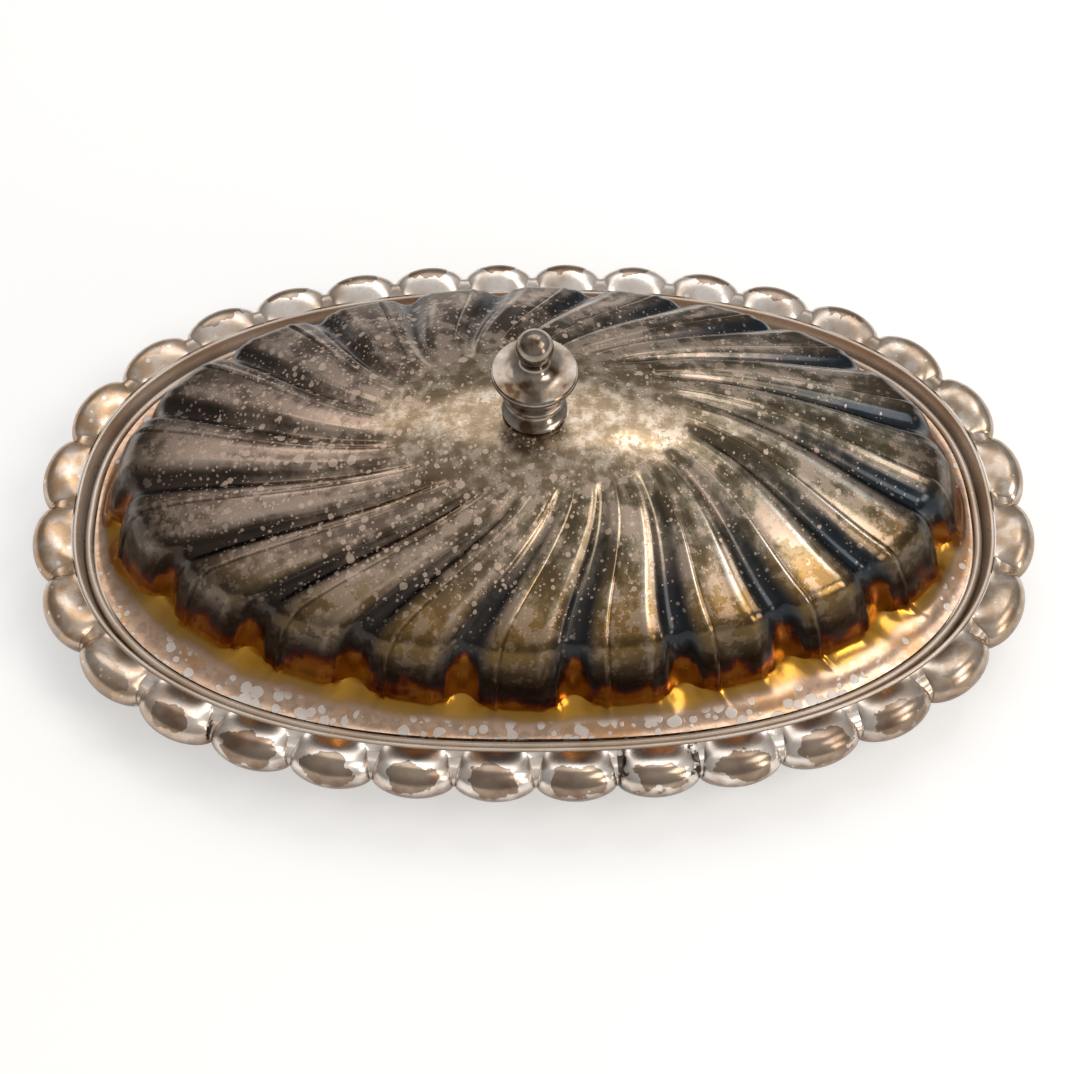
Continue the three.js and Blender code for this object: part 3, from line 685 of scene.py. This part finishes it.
    # dried drops of three sizes, up to 2.2, 1.4 and 0.8 mm wide, most on the left and the crown
    leftward = add_node(
        tree, "MapRange", {"Value": at.outputs["X"], 1: 30 * MM, 2: -40 * MM, 3: 0.65, 4: 1.0},
    )
    bent = add_node(tree, "MapRange", {"Value": ragged, 1: 0.3, 2: 0.7, 3: -0.2 * MM, 4: 0.2 * MM})
    bent = add_node(tree, "VectorMath", {0: place, 1: bent}, operation="ADD")
    spots = 0.0
    for width, share in ((3.4, 0.32), (1.8, 0.4), (0.9, 0.42)):
        cell = add_node(tree, "TexVoronoi", {"Vector": bent, "Scale": 1 / (width * MM)})
        chance = add_node(tree, "SeparateXYZ", {0: cell.outputs["Color"]}).outputs["X"]
        radius = add_node(tree, "MapRange", {"Value": chance, 1: 0.15, 2: 1.0, 4: share})
        radius = add_node(tree, "Math", {0: radius, 1: leftward}, operation="MULTIPLY")
        inside = add_node(tree, "Math", {0: radius, 1: cell.outputs["Distance"]}, operation="SUBTRACT")
        inside = add_node(tree, "MapRange", {"Value": inside, 1: 0.0, 2: 0.03})
        spots = add_node(tree, "Math", {0: inside, 1: spots}, operation="MAXIMUM")
    above = add_node(tree, "MapRange", {"Value": out, 1: 0.93, 2: 0.7, 3: 0.05, 4: 0.75})
    spots = add_node(tree, "Math", {0: spots, 1: above}, operation="MULTIPLY")
    dome = add_node(tree, "Mix", {0: spots, 6: dome, 7: linear("d0b7a4")}, data_type="RGBA")
    # film at the foot of the wall: purple, red, amber and gold, then beige on the flange. It climbs in
    # rounded tongues where the channels come down.
    tongue = add_node(tree, "MapRange", {"Value": channel, 1: 0.16, 2: 0.0})
    tongue = add_node(tree, "Math", {0: tongue, 1: 0.5}, operation="POWER")
    on_wall = add_node(tree, "MapRange", {"Value": out, 1: 1.03, 2: 1.0, 4: 0.03})
    height = add_node(tree, "Math", {0: tongue, 1: on_wall, 2: out}, operation="MULTIPLY_ADD")
    height = add_node(tree, "Math", {0: height, 1: wander}, operation="ADD")
    share = add_node(tree, "MapRange", {"Value": height, 1: 0.97, 2: 1.13})
    foot = add_node(
        tree, "ValToRGB", {"Fac": share},
        [(0.0, "2c2b2a"), (0.07, "35262e"), (0.11, "6e3320"), (0.15, "a8691f"), (0.3, "b8842e"),
         (0.6, "a8834e"), (0.66, "ab896c"), (0.8, "ba9b83"), (1, "c6a68e")],
    )
    low = add_node(tree, "MapRange", {"Value": height, 1: 0.972, 2: 0.985})
    colour = add_node(tree, "Mix", {0: low, 6: dome, 7: foot}, data_type="RGBA")
    # brown stains, orange blotches and white crust on the flange, most along the front
    flange = add_node(tree, "MapRange", {"Value": out, 1: 1.08, 2: 1.11})
    mottle = add_node(tree, "MapRange", {"Value": ragged, 1: 0.46, 2: 0.56, 4: 0.5})
    mottle = add_node(tree, "Math", {0: mottle, 1: flange}, operation="MULTIPLY")
    colour = add_node(tree, "Mix", {0: mottle, 6: colour, 7: linear("957b67")}, data_type="RGBA")
    blotch = add_node(tree, "MapRange", {"Value": cloud, 1: 0.52, 2: 0.57, 4: 0.55})
    blotch = add_node(tree, "Math", {0: blotch, 1: flange}, operation="MULTIPLY")
    colour = add_node(tree, "Mix", {0: blotch, 6: colour, 7: linear("bd8c5a")}, data_type="RGBA")
    cell = add_node(tree, "TexVoronoi", {"Vector": bent, "Scale": 1 / (2.2 * MM)})
    chance = add_node(tree, "SeparateXYZ", {0: cell.outputs["Color"]}).outputs["X"]
    frontal = add_node(
        tree, "MapRange", {"Value": at.outputs["Y"], 1: -20 * MM, 2: -48 * MM, 3: 0.4, 4: 0.75},
    )
    radius = add_node(tree, "Math", {0: chance, 1: frontal}, operation="MULTIPLY")
    crust = add_node(tree, "Math", {0: radius, 1: cell.outputs["Distance"]}, operation="SUBTRACT")
    crust = add_node(tree, "MapRange", {"Value": crust, 1: 0.0, 2: 0.05, 4: 0.75})
    crust = add_node(tree, "Math", {0: crust, 1: flange}, operation="MULTIPLY")
    colour = add_node(tree, "Mix", {0: crust, 6: colour, 7: linear("ddd6cf")}, data_type="RGBA")
    # spots and crust are mineral and dull, the films between them polished
    dull = add_node(tree, "Math", {0: spots, 1: crust}, operation="ADD")
    metal = add_node(tree, "MapRange", {"Value": dull, 3: 1.0, 4: 0.35})
    rough = add_node(tree, "MapRange", {"Value": both, 1: 0.9, 2: 1.5, 3: 0.17, 4: 0.3})
    rough = add_node(tree, "Math", {0: dull, 1: 0.18, 2: rough}, operation="MULTIPLY_ADD")
    set_inputs(tree, shader, {"Base Color": colour, "Metallic": metal, "Roughness": rough})
    # spots and worn patches stand proud, hairlines run along the flutes, and the sheet is a little wavy
    relief = add_node(tree, "Math", {0: hairline, 1: 0.12, 2: dull}, operation="MULTIPLY_ADD")
    relief = add_node(tree, "Math", {0: cloud, 1: 2.0, 2: relief}, operation="MULTIPLY_ADD")
    relief = add_node(tree, "Math", {0: worn, 1: 0.6, 2: relief}, operation="MULTIPLY_ADD")
    bump = add_node(tree, "Bump", {"Height": relief, "Strength": 0.4, "Distance": 0.07 * MM})
    set_inputs(tree, shader, {"Normal": bump})
    return material


def lid_inside_plate():
    """The unpolished inside: satin silver plate with a brown bloom."""
    material, tree, shader, place = new_material("satin_silver_plate")
    # bloom in clouds about 14 mm across
    cloud = add_node(tree, "TexNoise", {"Vector": place, "Scale": 1 / (14 * MM), "Detail": 5.0})
    bloom = add_node(tree, "ValToRGB", {"Fac": cloud}, [(0.35, "7d6a55"), (0.55, "a39688"), (0.7, "bdb4aa")])
    rough = add_node(tree, "MapRange", {"Value": cloud, 3: 0.46, 4: 0.3})
    set_inputs(tree, shader, {"Base Color": bloom, "Metallic": 1.0, "Roughness": rough})
    return material


lid_rows, lid_outs = [], []
for step in np.linspace(1, 0, flange_rows, endpoint=False):
    ring, out = flange_ring(step)
    lid_rows.append(ring)
    lid_outs.append(out)
wall_outs = np.linspace(1, wall_start, wall_rows, endpoint=False)
flute_outs = np.linspace(wall_start, flute_start, flute_rows, endpoint=False)
plateau_outs = np.linspace(flute_start, plateau_out, plateau_rows + 1)
for out in (*wall_outs, *flute_outs, *plateau_outs):
    lid_rows.append(dome_ring(out))
    lid_outs.append(np.full(len(flute_phases), out))
last_ring, seat_ring = lid_rows[-1], crown_ring(knob_seat_radius)
for share in (0.33, 0.67, 1):
    lid_rows.append(last_ring + (seat_ring - last_ring) * share)
    lid_outs.append(np.full(len(flute_phases), plateau_out + (seat_out - plateau_out) * share))
lid_rows.append(crown_ring(bore_radius))
lid_outs.append(np.zeros(len(flute_phases)))
lid = wrapped_sheet("fluted_lid", np.array(lid_rows))
for corner in lid.data.uv_layers.active.data:
    row = round(corner.uv.y * (len(lid_rows) - 1))
    column = round(corner.uv.x * (len(flute_phases) - 1))
    corner.uv = flute_phases[column], lid_outs[row][column]
lid.data.materials.append(lid_plate())
lid.data.materials.append(lid_inside_plate())
thicken(lid, lid_sheet, 1)
smooth_faces(lid, angle=40)
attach(lid, "lid")
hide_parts("lid_dome")


# Rim wire: drawn brass wire, silver-plated and soldered along the edge of the lid's flange.
# It stiffens the edge and shows as a pale bead just inside the band of the dish.
wire_columns = 320
wire_sides = 16
wire_shares = np.arange(wire_columns + 1) / wire_columns
wire_level = lid_seat + wire_radius
wire_rings = []
for angle in np.linspace(0, 2 * np.pi, wire_sides + 1):
    offset = -wire_radius - fit_gap / 2 + wire_radius * np.cos(angle)
    wire_rings.append(seat.ring(wire_shares, offset, wire_level + wire_radius * np.sin(angle)))
wire = wrapped_sheet("rim_wire", np.array(wire_rings))
smooth_faces(wire, angle=40)
wire.data.materials.append(dish.data.materials[0])
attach(wire, "lid")
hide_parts("lid_rim_wire")


# Knob: three turned pieces on one stud. The spool has a flared foot and a waist, the urn a cup
# under a broad disc, and the tip a ball on a thin neck. All are silver-plated brass.
turned_columns = 96
edge_steps = 8
curve_steps = 16
ball_steps = 32
point_radius = 0.01
spool_radius = 6.15
spool_edge = 0.9
neck_radius = 3.4
spool_top_radius = 4.9
spool_height = 4.7
ring_radius = 6.05
ring_height = 0.8
cup_foot_radius = 5.4
cup_swell = 0.3
cup_steps = 10
disc_radius = 8
disc_edge = 0.8
disc_height = 6.2
urn_top_radius = 2.1
urn_height = 10
tip_neck_radius = 1.75
ball_radius = 3.45
ball_rise = 3
stud_grip = 5
peg_radius = 1
peg_length = 2.6
spool_level = crown_level + fit_gap
urn_level = spool_level + spool_height + fit_gap
tip_level = urn_level + urn_height + fit_gap


def turned(name, profile, level):
    """A piece turned on the lathe: a circle, drawn from ring to ring along its profile."""
    radius, height = profile[0]
    start = max(radius, point_radius)
    bpy.ops.object.select_all(action="DESELECT")
    bpy.ops.mesh.primitive_circle_add(vertices=turned_columns, radius=start * MM, location=(0, 0, 0))
    piece = bpy.context.object
    piece.name = name
    bpy.ops.object.mode_set(mode="EDIT")
    bpy.ops.mesh.select_all(action="SELECT")
    bpy.ops.transform.translate(value=(0, 0, (level + height) * MM))
    for next_radius, next_height in profile[1:]:
        rise = (next_height - height) * MM
        bpy.ops.mesh.extrude_region_move(TRANSFORM_OT_translate={"value": (0, 0, rise)})
        end = max(next_radius, point_radius)
        bpy.ops.transform.resize(value=(end / start, end / start, 1), center_override=(0, 0, 0))
        start, height = end, next_height
    bpy.ops.mesh.select_all(action="SELECT")
    bpy.ops.mesh.remove_doubles(threshold=0.002 * MM)
    bpy.ops.mesh.normals_make_consistent(inside=False)
    bpy.ops.object.mode_set(mode="OBJECT")
    smooth_faces(piece, angle=35)
    return piece


def knob_plate():
    """Silver plate on turned brass: brownish dark mirror with rusty pits and a warm sheen."""
    material, tree, shader, place = new_material("handled_silver_plate")
    # film in clouds about 4 mm across
    cloud = add_node(tree, "TexNoise", {"Vector": place, "Scale": 1 / (4 * MM), "Detail": 4.0})
    film = add_node(
        tree, "ValToRGB", {"Fac": cloud},
        [(0.34, "513c2b"), (0.41, "776757"), (0.52, "94877b"), (0.7, "aaa096")],
    )
    # rusty pits up to 0.7 mm wide in cells of 1.6 mm
    cell = add_node(tree, "TexVoronoi", {"Vector": place, "Scale": 1 / (1.6 * MM)})
    chance = add_node(tree, "SeparateXYZ", {0: cell.outputs["Color"]}).outputs["X"]
    radius = add_node(tree, "MapRange", {"Value": chance, 1: 0.55, 2: 1.0, 4: 0.25})
    pit = add_node(tree, "Math", {0: radius, 1: cell.outputs["Distance"]}, operation="SUBTRACT")
    pit = add_node(tree, "MapRange", {"Value": pit, 1: 0.0, 2: 0.05, 4: 0.7})
    colour = add_node(tree, "Mix", {0: pit, 6: film, 7: linear("56402f")}, data_type="RGBA")
    rough = add_node(tree, "MapRange", {"Value": cloud, 1: 0.3, 2: 0.7, 3: 0.24, 4: 0.13})
    set_inputs(tree, shader, {"Base Color": colour, "Metallic": 1.0, "Roughness": rough})
    return material


def with_bends(profile, bends):
    """A profile carried on by curves, each with its corner, its end and its number of steps."""
    for corner, end, steps in bends:
        profile = profile + bend(profile[-1], corner, end, steps)[1:]
    return profile


spool_inside = spool_radius - spool_edge / 2
spool_profile = with_bends([(bore_radius, 0), (spool_inside, 0)], [
    ((spool_radius + spool_edge / 2, spool_edge / 2), (spool_inside, spool_edge), edge_steps),
    ((neck_radius, (spool_edge + spool_height) / 2), (spool_top_radius, spool_height), curve_steps),
])
spool_profile += [(bore_radius, spool_height), (bore_radius, 0)]
knob_material = knob_plate()
spool = turned("knob_foot_spool", spool_profile, spool_level)

disc_inside = disc_radius - disc_edge / 2
urn_start = [(0, stud_grip), (bore_radius, stud_grip), (bore_radius, 0), (cup_foot_radius, 0)]
urn_profile = with_bends(urn_start, [
    ((2 * ring_radius - cup_foot_radius, ring_height / 2), (cup_foot_radius, ring_height), edge_steps),
    ((cup_foot_radius + cup_swell, disc_height / 2), (disc_inside, disc_height - disc_edge), cup_steps),
    ((disc_radius + disc_edge / 2, disc_height), (disc_inside, disc_height + disc_edge), edge_steps),
    ((urn_top_radius, disc_height + disc_edge), (urn_top_radius, urn_height), curve_steps),
])
peg_hole = peg_radius + fit_gap
peg_depth = urn_height - peg_length - fit_gap
urn_profile += [(peg_hole, urn_height), (peg_hole, peg_depth), (0, peg_depth)]
urn = turned("knob_urn_disc", urn_profile, urn_level)

neck_angle = math.asin(tip_neck_radius / ball_radius)
tip_profile = [(0, -peg_length), (peg_radius, -peg_length), (peg_radius, 0), (tip_neck_radius, 0)]
for angle in np.linspace(neck_angle, math.pi, ball_steps + 1):
    tip_profile.append((ball_radius * math.sin(angle), ball_rise - ball_radius * math.cos(angle)))
tip = turned("knob_ball_tip", tip_profile, tip_level)

for piece, node in ((spool, "knob_spool"), (urn, "knob_urn"), (tip, "knob_tip")):
    piece.data.materials.append(knob_material)
    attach(piece, "lid")
    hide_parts(node)


# Fasteners: brass stud, washer and nut inside the lid, as the machine left them.
# They keep their own solids and get their metal here.
def turned_brass():
    """Bare brass off the lathe: yellow, with a brown bloom."""
    material, tree, shader, place = new_material("turned_brass")
    # bloom in clouds about 2 mm across
    cloud = add_node(tree, "TexNoise", {"Vector": place, "Scale": 1 / (2 * MM), "Detail": 4.0})
    bloom = add_node(tree, "ValToRGB", {"Fac": cloud}, [(0.35, "7a5a28"), (0.55, "b08d4a"), (0.7, "c4a45e")])
    rough = add_node(tree, "MapRange", {"Value": cloud, 3: 0.42, 4: 0.24})
    set_inputs(tree, shader, {"Base Color": bloom, "Metallic": 1.0, "Roughness": rough})
    return material


brass = turned_brass()
for name in ("knob_stud", "knob_washer", "knob_nut"):
    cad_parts[name].material_slots[0].material = brass


# Studio: a white paper floor, a large soft light overhead and smaller ones at the sides.
# The floor shows as white to the camera and in the metal, and keeps the shadow of the dish.
def white_paper():
    """Matt white paper, with part of its white given to the camera and to mirrors alone."""
    material = bpy.data.materials.new("white_paper")
    material.use_nodes = True
    tree = material.node_tree
    tree.nodes.remove(tree.nodes["Principled BSDF"])
    paper = add_node(tree, "BsdfDiffuse", {"Color": linear("dedddb")})
    path = add_node(tree, "LightPath")
    camera_ray, mirror_ray = path.outputs["Is Camera Ray"], path.outputs["Is Glossy Ray"]
    seen = add_node(tree, "Math", {0: camera_ray, 1: mirror_ray}, operation="MAXIMUM")
    glass_ray = path.outputs["Is Transmission Ray"]
    seen = add_node(tree, "Math", {0: seen, 1: glass_ray}, operation="MAXIMUM")
    extra_white = 0.41
    strength = add_node(tree, "Math", {0: seen, 1: extra_white}, operation="MULTIPLY")
    glow = add_node(tree, "Emission", {"Strength": strength})
    both = add_node(tree, "AddShader", {0: paper, 1: glow})
    set_inputs(tree, tree.nodes["Material Output"], {"Surface": both})
    return material


bpy.ops.object.select_all(action="DESELECT")
bpy.ops.mesh.primitive_plane_add(size=8)
floor = bpy.context.object
floor.name = "paper_floor"
floor.data.materials.append(white_paper())


def soft_light(name, place, width, height, power, code):
    """A rectangular soft light at a place, turned to face the dish. Sizes in metres, power in watts."""
    middle_of_dish = Vector((0, 0, 0.02))
    aim = (middle_of_dish - Vector(place)).to_track_quat("-Z", "Y").to_euler()
    bpy.ops.object.light_add(type="AREA", location=place, rotation=aim)
    lamp = bpy.context.object
    lamp.name = name
    lamp.data.shape = "RECTANGLE"
    lamp.data.size, lamp.data.size_y = width, height
    lamp.data.energy = power
    lamp.data.color = linear(code)[:3]


soft_light("overhead_light", (0.11, 0.55, 0.95), 0.8, 0.5, 1.7, "ffffff")
soft_light("left_light", (-0.42, 0.6, 0.82), 0.35, 0.3, 0.4, "fff8f2")
soft_light("crown_light", (0.3, 0.36, 0.99), 0.14, 0.14, 0.35, "fffaf4")
soft_light("side_light", (0.6, -0.2, 0.75), 0.5, 0.4, 2.2, "fffaf4")
soft_light("window_light", (0.77, -0.55, 0.32), 0.2, 0.3, 1.5, "fff4e6")

world = bpy.data.worlds.new("studio_room")
bpy.context.scene.world = world
world.use_nodes = True
room = world.node_tree
direction = add_node(room, "SeparateXYZ", {0: add_node(room, "TexCoord").outputs["Generated"]})
walls = add_node(
    room, "ValToRGB", {"Fac": direction.outputs["Z"]}, [(0.0, "8c8c8c"), (0.35, "b0b0b0"), (0.8, "cccccc")],
)
# the left side is darker, and the low part behind the camera is warmer
leftward = add_node(room, "MapRange", {"Value": direction.outputs["X"], 1: -0.1, 2: -0.8, 4: 0.35})
walls = add_node(room, "Mix", {0: leftward, 6: walls, 7: linear("4c4b4a")}, data_type="RGBA")
near = add_node(room, "MapRange", {"Value": direction.outputs["Y"], 1: -0.6, 2: -1.0, 4: 0.6})
walls = add_node(room, "Mix", {0: near, 6: walls, 7: linear("a6a4a0")}, data_type="RGBA")
set_inputs(room, room.nodes["Background"], {"Color": walls})

# Camera: the photograph's view, from the front and well above
view_elevation = math.radians(57)
view_turn = 0.0096
view_roll = 0.0045
view_distance = 0.3508
view_target = Vector((0, 0, 0.010))
flat = math.cos(view_elevation)
back = Vector((-flat * math.sin(view_turn), -flat * math.cos(view_turn), math.sin(view_elevation)))
bpy.ops.object.camera_add(location=view_target + back * view_distance)
camera = bpy.context.object
tilt = Euler((math.pi / 2 - view_elevation, 0, -view_turn)).to_matrix()
camera.rotation_euler = (tilt @ Matrix.Rotation(view_roll, 3, "Z")).to_euler()
camera.data.sensor_width = 36
camera.data.lens = 57.33
camera.data.shift_x = 0.0028
camera.data.shift_y = -0.0212
camera.data.clip_start = 0.01
bpy.context.scene.camera = camera
bpy.context.scene.view_settings.view_transform = "Standard"
